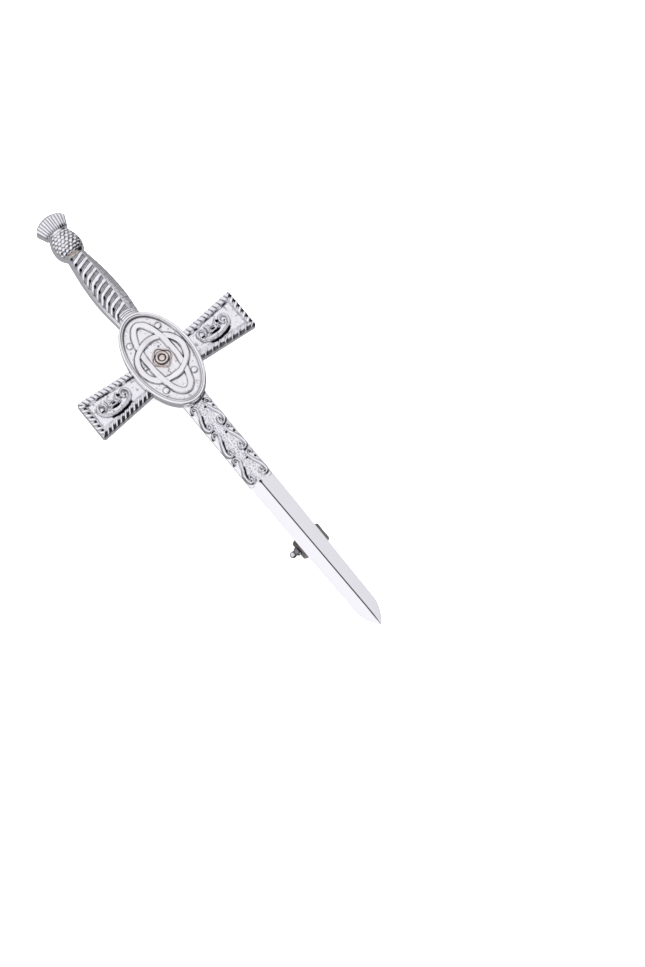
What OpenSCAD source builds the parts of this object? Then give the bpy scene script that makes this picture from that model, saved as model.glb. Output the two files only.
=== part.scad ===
// Sword-shaped kilt pin: a chromed casting with an oval medallion riveted on,
// and on its back a hinged pin stem with a turning safety catch.
// Millimetres, +Z up. The point of the sword is towards -Y, its front faces up,
// and it lies on its catch and hinge at z = 0, with the origin below its middle.

/* [Blade] */
// Length of the plain two-sided blade, from the point
plain_l = 34.6; // [30:0.2:42]
// Length of the ornate upper blade, up to the medallion
ornate_l = 19.4; // [18:0.2:24]
// Width of the blade at its upper end
blade_w = 5.1; // [4.2:0.1:6]
// Width of the blade where its point begins
blade_low_w = 4.4; // [3.4:0.1:4.8]
// Length of the pointed end
point_l = 4.6; // [3:0.2:8]
// Height of the middle ridge over the back
ridge_h = 1.5; // [1.2:0.1:2.2]
// Height of the blade's edges over the back
edge_h = 0.7; // [0.5:0.1:1.1]
// Thickness of the ornate blade's plate
ornate_h = 1.2; // [0.9:0.1:1.8]
// Height of the scrolls over the ornate blade
ornate_rise = 0.4; // [0.2:0.05:0.6]
// Number of scroll pairs up the ornate blade
scroll_pairs = 3; // [2:1:3]

/* [Medallion] */
// Length of the medallion along the sword
oval_l = 20.8; // [18:0.2:26]
// Width of the medallion
oval_w = 12.7; // [11:0.1:16]
// Thickness of the casting under the medallion
seat_h = 1.3; // [1:0.1:1.8]
// Thickness of the medallion at its rim
medal_t = 1.5; // [1.2:0.1:2.2]
// Width of the rim's bead
rim_w = 0.85; // [0.6:0.05:1.2]
// Depth of the field below the rim
field_drop = 0.5; // [0.3:0.05:0.8]
// Height of the knot over the field
knot_rise = 0.4; // [0.2:0.05:0.6]
// Width of the knot's bands
knot_w = 0.9; // [0.5:0.05:1]
// Radius of the round boss in the middle
boss_r = 0.95; // [0.7:0.05:1.4]
// Radius of the stud that holds the medallion
stud_r = 0.9; // [0.6:0.05:1.2]
// Distance of the stud above the medallion's middle
stud_up = 4.9; // [4.4:0.1:5.6]
// Radius of the stud's hammered head on the back
peen_r = 1.5; // [1.3:0.05:1.8]
// Height of the stud's hammered head
peen_h = 0.7; // [0.4:0.05:1]
// Gap between the medallion, its stud and the casting
medal_gap = 0.05; // [0.03:0.01:0.1]

/* [Arms] */
// Width of the sword over both arms
span = 35.7; // [32:0.1:44]
// Height of an arm where it meets the medallion
arm_in_w = 6.3; // [5.8:0.1:7]
// Height of an arm at its end
arm_out_w = 8.6; // [7:0.1:9.4]
// Thickness of the arms at their border
arm_h = 1.75; // [1.5:0.05:2.4]
// Depth of the arms' field below the border
arm_field = 0.25; // [0.15:0.05:0.4]
// How far the arms' middle lies below the medallion's
arm_drop = 1.3; // [0.8:0.1:2]
// Width of the rope border
rope_w = 1.15; // [1:0.05:1.3]
// Distance between the rope's strands
rope_pitch = 1.15; // [1:0.05:1.5]
// Height of the strands over the border
rope_rise = 0.35; // [0.2:0.05:0.5]
// Width of the scroll on each arm
arm_scroll_w = 7.2; // [6:0.1:7.6]
// Height of the scroll over the arm's field
arm_scroll_rise = 0.4; // [0.2:0.05:0.6]

/* [Grip and thistle] */
// Length of the grip
grip_l = 16; // [12:0.2:20]
// Width of the grip at its widest
grip_w = 5.8; // [5:0.1:7]
// Height of the grip over the back
grip_h = 3.2; // [2.6:0.1:4]
// Thickness of each ring of the collar
ring_t = 0.42; // [0.3:0.02:0.6]
// Distance between the collar's two rings
ring_pitch = 0.75; // [0.7:0.05:1]
// Distance between the grip's ridges
winding_pitch = 1.28; // [1:0.02:1.6]
// Height of the grip's ridges
winding_rise = 0.28; // [0.15:0.01:0.4]
// Length of the thistle's bulb
bulb_l = 5.6; // [4.5:0.1:7]
// Width of the bulb
bulb_w = 5.85; // [5:0.05:7]
// Height of the bulb over the back
bulb_h = 3.1; // [2.6:0.1:4]
// Height of the small scales on the bulb
scale_rise = 0.16; // [0.08:0.01:0.25]
// Length of the thistle's crown of spines
crown_l = 3.6; // [3:0.1:5]
// Width of the crown at its open end
crown_w = 6.8; // [6:0.1:8]
// Depth of the crown's round front edge, as a share of its length
crown_dome = 0.36; // [0.2:0.02:0.5]
// Height of the crown over the back
crown_h = 2.7; // [2.2:0.1:3.4]
// Height of the crown's spines
spine_rise = 0.2; // [0.1:0.01:0.3]
// Number of spines
spines = 11; // [9:1:13]

/* [Catch] */
// Distance of the catch from the sword's point
catch_up = 20.9; // [16:0.1:26]
// Outer radius of the catch
drum_r = 3.05; // [2.8:0.05:3.5]
// Length of the catch along the pin stem
drum_l = 3.4; // [3:0.1:4.5]
// Radius of the catch's bore
drum_bore_r = 1.9; // [1.6:0.05:2]
// Depth to which the catch is sunk in the blade
drum_sink = 0.45; // [0.3:0.05:0.6]
// Running gap between the rotor and the catch
rotor_gap = 0.05; // [0.03:0.01:0.1]
// Gap between the pin stem and the rotor
stem_gap = 0.15; // [0.1:0.01:0.2]
// Thickness of the rotor's lever
lever_d = 0.9; // [0.7:0.05:1]
// Gap between the lever and each side of its slot
lever_gap = 0.15; // [0.1:0.05:0.25]
// Distance from the catch's axis to the end of the lever
lever_reach = 4.85; // [4.5:0.05:5.5]
// Radius of the ball at the end of the lever
ball_r = 0.68; // [0.5:0.02:0.8]

/* [Hinge and pin stem] */
// Distance by which the hinge, the stem and the catch stand to the right of the middle
stem_x = 0.4; // [0:0.1:0.6]
// Thickness of the pin stem
stem_d = 1; // [0.8:0.05:1.1]
// Thickness of the stem's root and eye
root_d = 1.15; // [1.1:0.05:1.4]
// Length of the stem's thicker root
root_l = 3.4; // [3:0.1:5]
// Length by which the stem's point stands out of the catch
stem_over = 1.3; // [0.6:0.1:2.5]
// Radius of the hinge rivet
rivet_r = 0.5; // [0.4:0.05:0.6]
// Gap between the rivet and what it goes through
rivet_gap = 0.04; // [0.03:0.01:0.08]
// Thickness of each hinge ear
ear_t = 1.2; // [0.8:0.1:1.6]
// Gap between the stem's eye and each ear
ear_gap = 0.12; // [0.08:0.01:0.25]
// Thickness of the hinge's base
base_t = 0.6; // [0.4:0.1:0.9]
// Height of the rivet's heads
head_t = 0.45; // [0.3:0.05:0.6]
// Distance from the hinge's ears to the small toe below them
toe_off = 2.6; // [1.6:0.1:3.4]
// Width of the toe, and its length along the sword
toe_w = 1.1; // [0.8:0.1:1.4]

/* [Hidden] */
$fn = 48;

// Stations along the sword, from its point upwards
total_l = plain_l + ornate_l + oval_l + grip_l + bulb_l + crown_l;
point_y = -total_l / 2;
ornate_y = point_y + plain_l;
oval_y = ornate_y + ornate_l + oval_l / 2;
grip_y = oval_y + oval_l / 2;
bulb_y = grip_y + grip_l;
crown_y = bulb_y + bulb_l;
arm_y = oval_y - arm_drop;
catch_y = point_y + catch_up;
hinge_y = oval_y;

// Heights: the catch stands on z = 0, and the stem runs through its middle
drum_z = drum_r;
back_z = 2 * drum_r - drum_sink;
seat_z = back_z + seat_h;
eye_bore_r = rivet_r + rivet_gap;
stem_bend_r = eye_bore_r + root_d / 2;
hinge_z = drum_z - stem_bend_r;
ear_r = hinge_z;
ear_in = root_d / 2 + ear_gap;
field_z = seat_z + medal_t - field_drop;
arm_top_z = back_z + arm_h;
sunk = 0.2; // how deep raised work is rooted in what carries it
back_step = 0.08; // how far the blade's and the hilt's backs stand in from the seat's
past = 1; // how far a cut runs past what it cuts
blade_tuck = 1.4; // how far the plain blade runs under the ornate one
arm_tuck = 1.2; // how far an arm runs under the medallion
scroll_foot = 0.35; // from the ornate blade's end to its first scroll
collar_up = 0.5; // from the medallion's edge to the collar's first ring
seat_step = 0.1; // how far the casting's edge stands back from the medallion's
rotor_step = 0.1; // how far the rotor's ends stand back from the catch's

// Rows of the pointed end: [share of its length, share of its width, share of its height]
point_rows = [[0, 0.08, 0.35], [0.12, 0.42, 0.6], [0.32, 0.7, 0.8], [0.62, 0.9, 0.94], [1, 1, 1]];
// Outline of the grip: [share of its length, share of its width, share of its height]
grip_rows = [
    [-0.2, 0.8, 0.78], [0.12, 0.9, 0.91], [0.27, 0.98, 0.98], [0.42, 1, 1],
    [0.62, 0.95, 0.97], [0.8, 0.83, 0.91]
];
// Outline of the bulb: [share of its length, share of its width, share of its height]
bulb_rows = [
    [0, 0.64, 0.8], [0.12, 0.84, 0.88], [0.3, 0.98, 0.98], [0.5, 1, 1],
    [0.72, 0.93, 0.95], [0.92, 0.8, 0.88]
];
// Outline of the crown: [share of its length, share of its width, share of its height]
crown_rows = [[0, 0.71, 0.94], [0.4, 0.82, 0.97], [1, 1, 1]];

// Half cross-sections of the hilt, from the back's edge to its middle:
// [share of the half width, share of the height]
grip_section = [[1, 0], [1, 0.3], [0.94, 0.5], [0.42, 0.95], [0, 1]];
bulb_section = [[1, 0], [0.93, 0.38], [0.71, 0.71], [0.38, 0.93], [0, 1]];
crown_section = [[1, 0], [1, 0.6], [0.92, 0.86], [0.55, 0.97], [0, 1]];

// Paths of the scrolls, right half, as shares of half the width that they fill;
// the S-scroll's second column is a share of the distance between two scrolls
s_scroll = [
    [0.62, 0.22], [0.5, 0.3], [0.36, 0.25], [0.34, 0.14], [0.52, 0.07], [0.74, 0.1], [0.84, 0.22],
    [0.76, 0.42], [0.54, 0.64], [0.38, 0.82], [0.42, 0.93], [0.6, 0.975], [0.78, 0.92], [0.8, 0.83]
];
c_scroll = [
    [0.7, 0.12], [0.6, 0.22], [0.66, 0.38], [0.83, 0.44], [0.95, 0.34], [0.98, 0.1], [0.86, -0.16],
    [0.6, -0.34], [0.28, -0.43], [-0.02, -0.45]
];
petal = [[0.02, -0.14], [0.18, -0.1], [0.3, 0.08], [0.28, 0.3], [0.4, 0.44]];

function column(rows, share, c) = lookup(share, [for (r = rows) [r[0], r[c]]]);
function oval(a, b, n = 48) = [for (i = [0:n - 1]) [a * cos(360 * i / n), b * sin(360 * i / n)]];

// Lofts rows of points, each row from one side over the top to the other, on one flat back
module loft(rows) {
    n = len(rows[0]);
    m = len(rows);
    skin = [for (j = [0:m - 2]) for (i = [0:n - 2]) for (t = [0, 1])
        let (a = j * n + i, b = a + 1, c = a + n, d = c + 1)
        t == 0 ? [a, c, b] : [b, c, d]];
    first = [for (i = [0:n - 1]) i];
    last = [for (i = [n - 1:-1:0]) (m - 1) * n + i];
    back = [for (j = [0:m - 2]) [(j + 1) * n - 1, (j + 2) * n - 1, (j + 1) * n, j * n]];
    polyhedron(
        points = [for (r = rows) for (p = r) p],
        faces = concat(skin, back, [first, last]),
        convexity = 8
    );
}

// A smooth curve through the points of a path
function curve(path, steps = 3) = concat(
    [for (i = [0:len(path) - 2]) for (k = [0:steps - 1])
        let (
            t = k / steps,
            a = path[max(i - 1, 0)], b = path[i], c = path[i + 1], d = path[min(i + 2, len(path) - 1)]
        )
        b + (c - a) * t / 2 + (2 * a - 5 * b + 4 * c - d) * t * t / 2
            + (3 * b - a - 3 * c + d) * t * t * t / 2],
    [path[len(path) - 1]]
);

// Outline of a band along a path, with its width at the start and at the end
function across(path, i) =
    let (d = path[min(i + 1, len(path) - 1)] - path[max(i - 1, 0)])
    [-d[1], d[0]] / norm(d);
function band(path, w0, w1) =
    let (n = len(path) - 1, half = [for (i = [0:n]) across(path, i) * (w0 + (w1 - w0) * i / n) / 2])
    concat([for (i = [0:n]) path[i] + half[i]], [for (i = [n:-1:0]) path[i] - half[i]]);

// Plain blade: a flat back, two upright edges and two facets that meet in a ridge
function blade_half(y) = y < point_l
    ? column(point_rows, y / point_l, 1) * blade_low_w / 2
    : (blade_low_w + (blade_w - blade_low_w) * (y - point_l) / (plain_l - point_l)) / 2;
function blade_high(y) = y < point_l ? column(point_rows, y / point_l, 2) : 1;
module plain_blade() {
    stations = concat([for (r = point_rows) r[0] * point_l], [plain_l + blade_tuck]);
    rows = [for (y = stations)
        let (w = blade_half(y), k = blade_high(y), py = point_y + y)
        [[-w, py, back_z + back_step], [-w, py, back_z + edge_h * k], [0, py, back_z + ridge_h * k],
         [w, py, back_z + edge_h * k], [w, py, back_z + back_step]]];
    loft(rows);
}

// Ornate blade: a plate with two round-cornered lobes at its lower end and scrolls up both sides
module ornate_blade() {
    lobe_w = blade_w / 2;
    corner = blade_w / 10;
    translate([0, 0, back_z]) linear_extrude(ornate_h) {
        translate([-lobe_w, ornate_y + 0.8 * corner]) square([blade_w, ornate_l + oval_l / 2 - corner]);
        for (s = [-1, 1]) {
            translate([s * lobe_w / 2, ornate_y + corner])
                square([lobe_w - 2 * corner, 2 * corner], center = true);
            for (x = [corner, lobe_w - corner])
                translate([s * x, ornate_y + corner]) circle(corner, $fn = 24);
        }
    }
}

module ornate_scrolls() {
    pitch = (ornate_l - 2 * scroll_foot) / scroll_pairs;
    path = [for (p = s_scroll) [p[0] * blade_w / 2, p[1] * pitch]];
    for (k = [0:scroll_pairs - 1]) for (s = [0, 1]) mirror([s, 0, 0])
        translate([0, ornate_y + scroll_foot + pitch * k, back_z + ornate_h - sunk])
            linear_extrude(ornate_rise + sunk) polygon(band(curve(path, 2), 0.3, 0.4));
}

// Arm: a plate that widens outwards, its field sunk inside the border
arm_in = oval_w / 2 - arm_tuck;
function arm_half(x) = (arm_in_w + (arm_out_w - arm_in_w) * (x - arm_in) / (span / 2 - arm_in)) / 2;
module arm_plate() {
    field_in = oval_w / 2;
    field_out = span / 2 - rope_w;
    translate([0, arm_y, back_z]) difference() {
        linear_extrude(arm_h) polygon([
            [0, -arm_half(arm_in)], [arm_in, -arm_half(arm_in)], [span / 2, -arm_half(span / 2)],
            [span / 2, arm_half(span / 2)], [arm_in, arm_half(arm_in)], [0, arm_half(arm_in)]
        ]);
        translate([0, 0, arm_h - arm_field]) linear_extrude(past) polygon([
            [field_in - 1, rope_w - arm_half(field_in)], [field_out, rope_w - arm_half(field_out)],
            [field_out, arm_half(field_out) - rope_w], [field_in - 1, arm_half(field_in) - rope_w]
        ]);
    }
}

// Strands of the rope border between two points of an arm's edge
module rope(a, b) {
    d = b - a;
    n = floor(norm(d) / rope_pitch);
    step = norm(d) / n;
    along = atan2(d[1], d[0]);
    w = rope_pitch * 0.56;
    for (i = [0:n - 1])
        translate([each (a + d * (i + 0.5) / n), arm_top_z - sunk])
            rotate([90, 0, along - 52])
                linear_extrude(rope_w * 0.88, center = true) polygon([
                    [-w / 2, 0], [w / 2, 0], [w / 2, sunk + rope_rise * 0.35],
                    [w / 4, sunk + rope_rise], [-w / 4, sunk + rope_rise], [-w / 2, sunk + rope_rise * 0.35]
                ]);
}

module arm_rope() {
    in = oval_w / 2 + 0.5;
    out = span / 2 - rope_w / 2;
    low = -arm_half(out) + rope_w / 2;
    translate([0, arm_y, 0]) {
        rope([in, rope_w / 2 - arm_half(in)], [out - 0.6, low]);
        rope([out, low - 0.1], [out, 0.1 - low]);
        rope([out - 0.6, -low], [in, arm_half(in) - rope_w / 2]);
    }
}

// Scroll on an arm: an open C on its back, curled in at both ends, with a tulip inside
module arm_scroll(side) {
    half = arm_scroll_w / 2;
    middle = side * (oval_w / 2 + span / 2 - rope_w) / 2;
    translate([middle, arm_y, arm_top_z - arm_field - sunk])
        linear_extrude(arm_scroll_rise + sunk) {
            for (s = [0, 1]) mirror([s, 0]) {
                polygon(band(curve(half * c_scroll), 0.35, 0.7));
                polygon(band(curve(half * petal), 0.55, 0.25));
            }
            translate([0, half * 0.12]) difference() {
                circle(half * 0.17, $fn = 24);
                circle(half * 0.08, $fn = 24);
            }
        }
}

// Body of the hilt: grip, thistle bulb and crown in one skin
function whole(section) =
    concat(section, [for (k = [len(section) - 2:-1:0]) [-section[k][0], section[k][1]]]);
function hilt_row(section, y, w, h) =
    [for (p = whole(section)) [-p[0] * w / 2, y, back_z + max(p[1] * h, back_step)]];
module hilt() {
    loft(concat(
        [for (r = grip_rows) hilt_row(grip_section, grip_y + grip_l * r[0], grip_w * r[1], grip_h * r[2])],
        [for (r = bulb_rows) hilt_row(bulb_section, bulb_y + bulb_l * r[0], bulb_w * r[1], bulb_h * r[2])],
        [for (r = crown_rows)
            hilt_row(crown_section, crown_y + crown_l * r[0], crown_w * r[1], crown_h * r[2])]
    ));
}

// A straight rod between two points, with flat sides
module rod(p, q, d, sides = 6) {
    v = q - p;
    translate(p) rotate([0, acos(v[2] / norm(v)), atan2(v[1], v[0])]) rotate([0, 0, 180 / sides])
        cylinder(d = d, h = norm(v), $fn = sides);
}

// Winding of the grip: slanted ridges over its top and down its sloping sides
function grip_at(y, out, up) =
    let (share = (y - grip_y) / grip_l)
    [out * grip_w / 2 * column(grip_rows, share, 1), y, back_z + up * grip_h * column(grip_rows, share, 2)];
module winding() {
    d = winding_pitch * 0.8;
    low = d / 2 - winding_rise;
    from = grip_y + collar_up + ring_pitch + winding_pitch * 0.66;
    for (k = [0:floor((bulb_y - from - winding_pitch / 2) / winding_pitch)]) {
        y = from + k * winding_pitch;
        a = grip_at(y + 0.25, 0.42, 0.95) - [0, 0, low];
        b = grip_at(y - 0.25, -0.42, 0.95) - [0, 0, low];
        rod(b, a, d);
        rod(a, grip_at(y + 0.8, 0.9, 0.54) - [low * 0.6, 0, low * 0.6], d);
        rod(grip_at(y - 0.8, -0.9, 0.54) - [-low * 0.6, 0, low * 0.6], b, d);
    }
}

// Scales of the bulb: small diamonds in staggered rows
module bulb_scales() {
    rows = 6;
    pitch = bulb_l * 0.72 / rows;
    for (j = [0:rows - 1]) {
        share = 0.2 + 0.72 * (j + 0.5) / rows;
        w = bulb_w / 2 * column(bulb_rows, share, 1);
        h = bulb_h * column(bulb_rows, share, 2);
        for (a = [-50 + 10 * (j % 2):20:50])
            translate([w * sin(a) * 0.97, bulb_y + bulb_l * share, back_z + h * cos(a) * 0.97])
                rotate([0, a, 0]) cylinder(r = pitch * 0.62, h = scale_rise + 0.03 * h, $fn = 4);
    }
}

// Spines of the crown: ridges that spread towards its open end
crown_top = [for (k = [len(crown_section) - 1:-1:0]) crown_section[k]];
module crown_spines() {
    for (k = [0:spines - 1]) {
        t = 1.8 * (k / (spines - 1) - 0.5);
        d = crown_w / spines * 0.8;
        drop = [0, 0, d / 2 - spine_rise];
        high = crown_h * lookup(abs(t), crown_top);
        a = [t * crown_w / 2 * 0.74, crown_y + 0.25, back_z + high * 0.94] - drop;
        b = [t * crown_w / 2, crown_y + crown_l * 1.05, back_z + high] - drop;
        rod(a, b, d);
    }
}

// Collar between the grip and the medallion: two low rings
module collar() {
    for (k = [0, 1])
        translate([0, grip_y + collar_up + k * ring_pitch, back_z])
            rotate([90, 0, 0]) linear_extrude(ring_t, center = true) polygon([
                [-grip_w * 0.46, grip_h * 0.08], [grip_w * 0.46, grip_h * 0.08],
                [grip_w * 0.45, grip_h * 0.5], [grip_w * 0.2, grip_h * 0.95],
                [-grip_w * 0.2, grip_h * 0.95], [-grip_w * 0.45, grip_h * 0.5]
            ]);
}

// Plan of the crown's open end: a round front edge
module crown_edge() {
    half = crown_w / 2;
    dome = crown_l * crown_dome;
    r = (half * half + dome * dome) / (2 * dome);
    translate([0, 0, back_z - past]) linear_extrude(crown_h + bulb_h + 2 * past) {
        translate([0, crown_y + crown_l - r]) circle(r, $fn = 96);
        translate([-span / 2, point_y]) square([span, crown_y - point_y + crown_l * 0.3]);
    }
}

// Housing of the catch: a short tube along the stem, open below, with a slot for the lever
module catch_housing() {
    opening = stem_d + 2 * stem_gap + rotor_step;
    lever_slot = lever_d + 2 * lever_gap;
    translate([stem_x, catch_y, drum_z]) difference() {
        rotate([90, 0, 0]) cylinder(r = drum_r, h = drum_l, center = true);
        rotate([90, 0, 0]) cylinder(r = drum_bore_r, h = drum_l + 2 * past, center = true);
        translate([-opening / 2, -drum_l, -2 * drum_r]) cube([opening, 2 * drum_l, 2 * drum_r]);
        translate([-2 * drum_r, -lever_slot / 2, -2 * drum_r])
            cube([4 * drum_r, lever_slot, 2 * drum_r + lever_d / 2 + lever_gap]);
    }
}

// Hinge bracket: a base on the back, two round ears and a small toe
module hinge_bracket() {
    wide = 2 * (ear_in + ear_t);
    translate([stem_x, hinge_y, 0]) difference() {
        union() {
            translate([-wide / 2, -ear_r, back_z - base_t]) cube([wide, 2 * ear_r, base_t + sunk]);
            for (s = [-1, 1]) translate([s * (ear_in + ear_t / 2), 0, 0]) {
                translate([0, 0, hinge_z]) rotate([0, 90, 0]) cylinder(r = ear_r, h = ear_t, center = true);
                translate([-ear_t / 2, -ear_r, hinge_z]) cube([ear_t, 2 * ear_r, back_z - hinge_z]);
            }
            translate([0, -ear_r - toe_off - toe_w, back_z - base_t]) cube([toe_w, toe_w, base_t + sunk]);
        }
        translate([0, 0, hinge_z]) rotate([0, 90, 0])
            cylinder(r = rivet_r + rivet_gap, h = wide + 2 * past, center = true);
    }
}

module sword() {
    color("silver") {
        difference() {
            union() {
                intersection() {
                    union() {
                        hilt();
                        crown_spines();
                    }
                    crown_edge();
                }
                collar();
                for (s = [0, 1]) mirror([s, 0, 0]) arm_plate();
                ornate_blade();
                translate([0, oval_y, back_z]) linear_extrude(seat_h)
                    polygon(oval(oval_w / 2 - seat_step, oval_l / 2 - seat_step));
            }
            translate([0, oval_y, seat_z]) linear_extrude(grip_h * 2)
                polygon(oval(oval_w / 2 + medal_gap, oval_l / 2 + medal_gap));
            translate([0, oval_y + stud_up, back_z - past])
                cylinder(r = stud_r + medal_gap, h = seat_h + 2 * past);
        }
        winding();
        bulb_scales();
        plain_blade();
        ornate_scrolls();
        for (s = [0, 1]) mirror([s, 0, 0]) arm_rope();
        for (s = [-1, 1]) arm_scroll(s);
        catch_housing();
        hinge_bracket();
    }
}

// Medallion: an oval with a round bead for a rim, and a knot of two ovals on its field
module medal_disc() {
    top = seat_z + medal_t;
    steps = [
        [0, seat_z], [0, top - 0.35 * rim_w], [0.14 * rim_w, top - 0.14 * rim_w], [0.45 * rim_w, top],
        [0.78 * rim_w, top - 0.12 * rim_w], [rim_w, field_z + 0.12], [rim_w * 1.06, field_z]
    ];
    n = 48;
    m = len(steps);
    points = [for (s = steps) for (p = oval(oval_w / 2 - s[0], oval_l / 2 - s[0], n)) [p[0], p[1], s[1]]];
    side = [for (j = [0:m - 2]) for (i = [0:n - 1]) for (t = [0, 1])
        let (a = j * n + i, b = j * n + (i + 1) % n, c = a + n, d = b + n)
        t == 0 ? [a, c, b] : [b, c, d]];
    polyhedron(
        points = points,
        faces = concat(side, [[for (i = [0:n - 1]) i]], [[for (i = [n - 1:-1:0]) (m - 1) * n + i]]),
        convexity = 4
    );
}

module ring(a, b, rise) {
    translate([0, 0, field_z - sunk]) linear_extrude(rise + sunk) difference() {
        polygon(oval(a, b));
        polygon(oval(a - knot_w, b - knot_w));
    }
}

module medallion() {
    field_a = oval_w / 2 - rim_w;
    field_b = oval_l / 2 - rim_w;
    color("gainsboro") translate([0, oval_y, 0]) {
        medal_disc();
        ring(field_a * 0.46, field_b * 0.8, knot_rise);
        ring(field_a * 0.84, field_b * 0.42, knot_rise * 0.8);
        translate([0, 0, field_z - sunk]) cylinder(r = boss_r, h = knot_rise * 1.4 + sunk, $fn = 32);
        for (sx = [-1, 1]) for (sy = [-1, 1])
            translate([sx * field_a * 0.56, sy * field_b * 0.56, field_z - sunk])
                cylinder(r = boss_r * 0.5, h = knot_rise * 0.7 + sunk, $fn = 24);
        translate([0, stud_up, back_z - medal_gap - sunk])
            cylinder(r = stud_r, h = seat_h + medal_gap + 2 * sunk);
        translate([0, stud_up, back_z - medal_gap - peen_h])
            rotate_extrude() polygon([
                [0, 0], [peen_r * 0.55, 0.04], [peen_r * 0.85, peen_h * 0.35], [peen_r, peen_h * 0.8],
                [peen_r * 0.95, peen_h], [0, peen_h]
            ]);
    }
}

module hinge_rivet() {
    half = ear_in + ear_t + rivet_gap;
    color("darkgray") translate([stem_x, hinge_y, hinge_z]) rotate([0, 90, 0]) {
        cylinder(r = rivet_r, h = 2 * half, center = true, $fn = 32);
        for (s = [0, 1]) mirror([0, 0, s]) translate([0, 0, half])
            cylinder(r1 = rivet_r * 2, r2 = rivet_r * 1.5, h = head_t, $fn = 32);
    }
}

// Pin stem: a wire with a thicker root bent round the rivet, and a long point
module pin_stem() {
    point_end = catch_y - drum_l / 2 - stem_over;
    point_from = catch_y + drum_l / 2 + stem_gap;
    root_end = hinge_y - root_l;
    color("lightgray") translate([stem_x, 0, 0]) {
        translate([0, hinge_y, hinge_z]) rotate([0, 90, 0]) rotate([0, 0, -180])
            rotate_extrude(angle = 270) translate([stem_bend_r, 0]) circle(root_d / 2, $fn = 32);
        translate([0, hinge_y, drum_z]) rotate([90, 0, 0])
            cylinder(d1 = root_d, d2 = stem_d, h = root_l, $fn = 32);
        translate([0, root_end, drum_z]) rotate([90, 0, 0])
            cylinder(d = stem_d, h = root_end - point_from, $fn = 32);
        translate([0, point_from, drum_z]) rotate([90, 0, 0])
            cylinder(d1 = stem_d, d2 = 0.24, h = point_from - point_end, $fn = 32);
    }
}

// Rotor of the catch: a slit roller with a lever that ends in a ball
module catch_rotor() {
    slit = stem_d + 2 * stem_gap;
    color("slategray") translate([stem_x, catch_y, drum_z]) {
        difference() {
            rotate([90, 0, 0])
                cylinder(r = drum_bore_r - rotor_gap, h = drum_l - 2 * rotor_step, center = true);
            rotate([90, 0, 0]) cylinder(d = slit, h = drum_l + 2 * past, center = true);
            translate([-slit / 2, -drum_l, -2 * drum_r]) cube([slit, 2 * drum_l, 2 * drum_r]);
        }
        translate([ball_r - lever_reach, 0, 0]) rotate([0, 90, 0])
            cylinder(d = lever_d, h = lever_reach - ball_r - slit / 2 - stem_gap, $fn = 32);
        translate([ball_r - lever_reach, 0, 0]) sphere(ball_r, $fn = 32);
    }
}

sword();
medallion();
hinge_rivet();
pin_stem();
catch_rotor();
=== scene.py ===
import math

import bpy
import mathutils
import numpy as np
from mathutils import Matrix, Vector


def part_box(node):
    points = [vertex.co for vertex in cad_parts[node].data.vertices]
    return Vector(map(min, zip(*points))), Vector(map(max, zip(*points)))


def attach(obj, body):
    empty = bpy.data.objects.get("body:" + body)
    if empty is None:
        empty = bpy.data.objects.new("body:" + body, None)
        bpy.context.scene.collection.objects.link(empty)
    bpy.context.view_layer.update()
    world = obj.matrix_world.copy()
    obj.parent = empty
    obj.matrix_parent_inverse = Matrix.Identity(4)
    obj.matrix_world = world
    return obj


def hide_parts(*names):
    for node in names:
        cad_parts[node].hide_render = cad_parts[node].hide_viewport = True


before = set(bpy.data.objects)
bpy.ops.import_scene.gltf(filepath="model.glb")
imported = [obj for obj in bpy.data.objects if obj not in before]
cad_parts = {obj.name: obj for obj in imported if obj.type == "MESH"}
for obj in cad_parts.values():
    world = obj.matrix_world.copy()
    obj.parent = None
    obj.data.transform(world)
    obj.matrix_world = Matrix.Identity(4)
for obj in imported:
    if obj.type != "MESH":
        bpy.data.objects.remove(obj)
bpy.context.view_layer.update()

# Sizes of the kilt pin in millimetres, in the frame's own axes: the sword's point is towards -Y,
# its front faces +Z, and its flat back lies at BACK_Z
MM = 0.001
POINT_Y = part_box("sword")[0].y / MM
# Where the ornate blade, the seat, the grip, the bulb and the crown begin
ORNATE_Y = -15.4
SEAT_Y = 4.0
GRIP_Y = 24.8
BULB_Y = 40.8
CROWN_Y = 46.4
# The medallion: its middle, half its width and half its length, its thickness and its rim's width
OVAL_Y = 14.4
OVAL_A, OVAL_B = 6.35, 10.4
MEDAL_T = 1.5
RIM_W = 0.92
STUD_Y = OVAL_Y + 4.9
BACK_Z = 5.65
SEAT_Z = 6.95
# Where one part of the casting runs into another, their flat backs lie this far apart
BACK_STEP = 0.02
# The blade's width at the ornate part and just above the point, and the point's length
BLADE_W = 5.1
BLADE_LOW_W = 4.4
POINT_L = 4.6
# The arms: from tip to tip, their middle line, where each begins, and its width there and at its end
SPAN = 35.7
ARM_Y = 13.1
ARM_IN = 5.15
ARM_IN_W, ARM_OUT_W = 6.3, 8.6
# The hinge, the pin and the catch stand a little to the right of the middle
PIN_X = 0.4
CATCH_Y = -29.1
DRUM_Z = 3.05
DRUM_R = DRUM_Z
HINGE_Y = OVAL_Y
HINGE_Z = 1.935
# Thickness of the hinge's ears, and from the middle to their inner faces
EAR_T = 1.2
EAR_IN = 0.695
# Cells each way after which the casting's grains and unevenness repeat
CELLS = 64


def curve(path, steps=10):
    """A smooth curve through the points of a path."""
    p = np.array(path, float)
    p = np.vstack([2 * p[0] - p[1], p, 2 * p[-1] - p[-2]])
    t = np.arange(steps)[:, None] / steps
    parts = []
    for a, b, c, d in zip(p[:-3], p[1:-2], p[2:-1], p[3:]):
        parts.append(
            b + (c - a) * t / 2 + (2 * a - 5 * b + 4 * c - d) * t**2 / 2
            + (3 * b - a - 3 * c + d) * t**3 / 2
        )
    return np.vstack([*parts, p[-2:-1]])


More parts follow.
